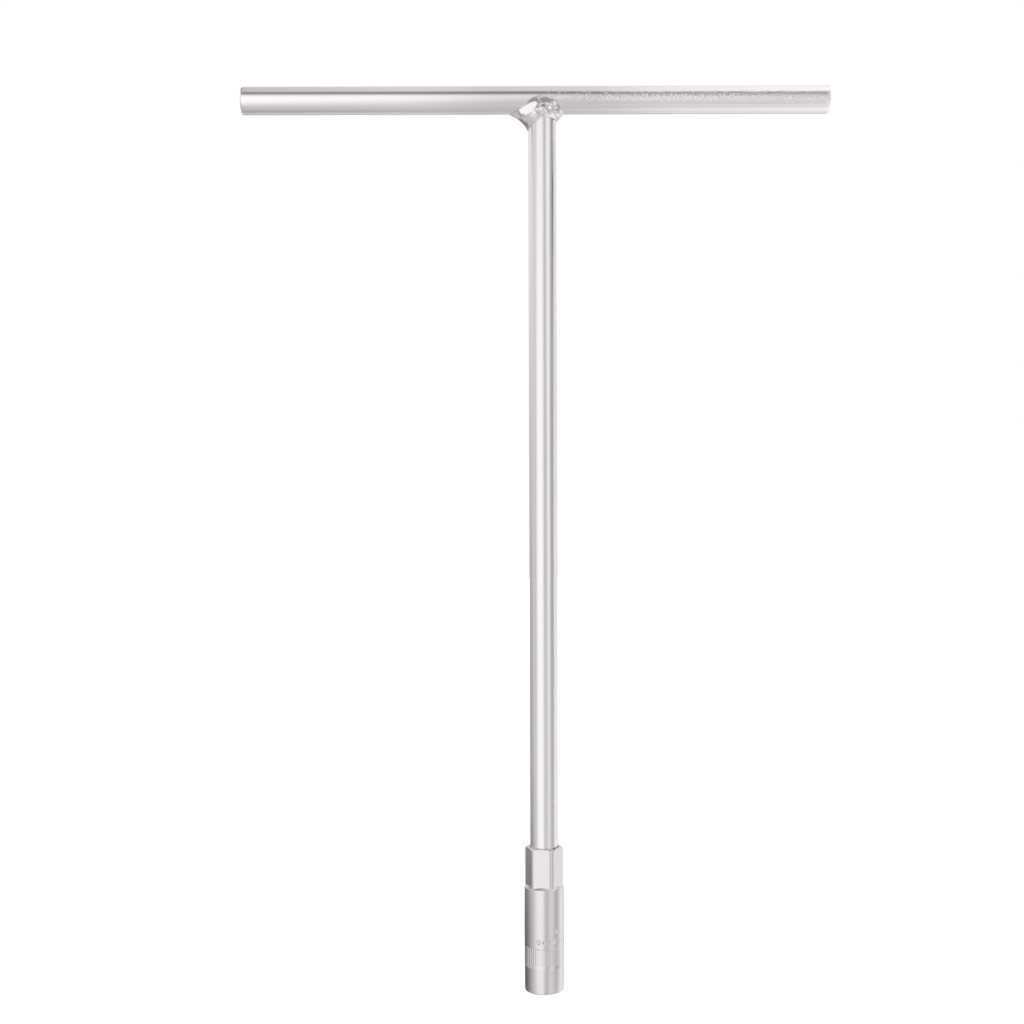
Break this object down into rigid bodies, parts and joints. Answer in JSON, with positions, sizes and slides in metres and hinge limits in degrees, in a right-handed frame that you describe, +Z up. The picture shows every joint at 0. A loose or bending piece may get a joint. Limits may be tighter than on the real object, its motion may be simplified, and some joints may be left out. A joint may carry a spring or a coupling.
{
  "type": "t-handle socket wrench",
  "caption": "T-shaped wrench of plated steel rod: a cross bar welded on a long round shank, with a small hexagon socket crimped on the shank's lower end.",
  "frame": {"origin": "centre of the socket's mouth, on the shank's axis", "axes": "+Z up the shank from the socket to the handle bar; X along the handle bar, whose longer arm points to -X; +Y to the back"},
  "size_m": [0.1948, 0.0132, 0.3],
  "materials": {
    "rod_plating": "bright nickel-chrome plate on drawn steel rod, faint polishing lines",
    "weld_plating": "bright plate over a weld bead, glossy and lumpy",
    "socket_plating": "bright plate on turned steel, slightly satin"
  },
  "bodies": {
    "root": {"handle_bar": "rod_plating", "shank": "rod_plating", "weld_bead": "weld_plating", "socket": "socket_plating"}
  },
  "joints": []
}
